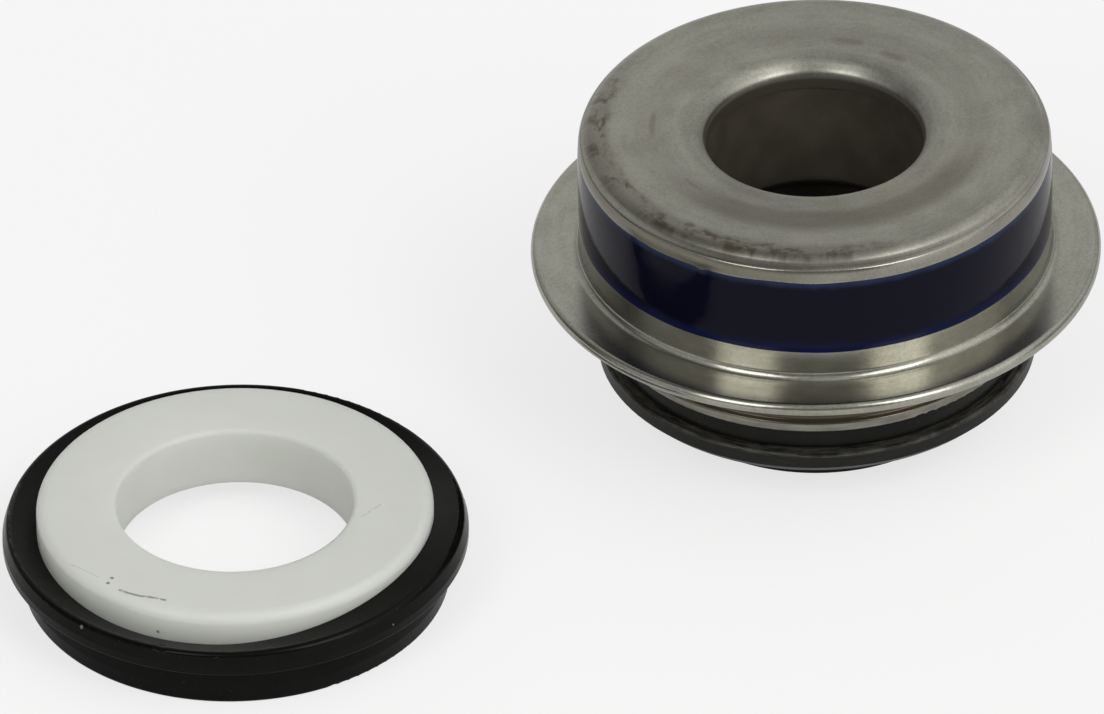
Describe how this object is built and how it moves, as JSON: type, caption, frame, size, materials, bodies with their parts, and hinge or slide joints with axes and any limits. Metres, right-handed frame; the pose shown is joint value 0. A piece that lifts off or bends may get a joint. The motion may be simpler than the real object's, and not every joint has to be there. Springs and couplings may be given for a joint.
{
  "type": "component mechanical seal",
  "caption": "Water-pump face seal: flanged steel seal head with rubber bellows, spring and carbon nose, and its ceramic seat in a rubber cup.",
  "frame": {"origin": "on the seal head's axis, in the plane of the carbon sealing face", "axes": "+Z along the head's axis from the sealing face to the closed end of the case; -X points to the seat's axis"},
  "size_m": [0.0699, 0.0338, 0.0185],
  "materials": {
    "case_steel": "satin, drawn and tumbled stainless sheet",
    "inner_steel": "satin, drawn stainless sheet",
    "spring_steel": "drawn stainless wire",
    "sealant": "glossy dark blue sealant coat",
    "bellows_rubber": "moulded black rubber, slight gloss",
    "cup_rubber": "moulded black rubber, satin",
    "carbon": "turned and lapped resin-bonded carbon",
    "ceramic": "sintered white alumina, lapped face"
  },
  "bodies": {
    "case_body": {"case": "case_steel", "sealant_band": "sealant", "clamp_ring": "inner_steel", "bellows": "bellows_rubber", "spring": "spring_steel", "ceramic_ring": "ceramic", "rubber_cup": "cup_rubber"},
    "nose": {"carbon_ring": "carbon", "retainer": "inner_steel"}
  },
  "joints": [
    {"name": "nose_slide", "type": "slide", "parent": "case_body", "child": "nose", "axis": [0, 0, 1], "range_m": [0, 0.0025], "stiffness_N_per_m": 1800, "springref_m": -0.004, "deforming": ["spring", "bellows"]}
  ]
}
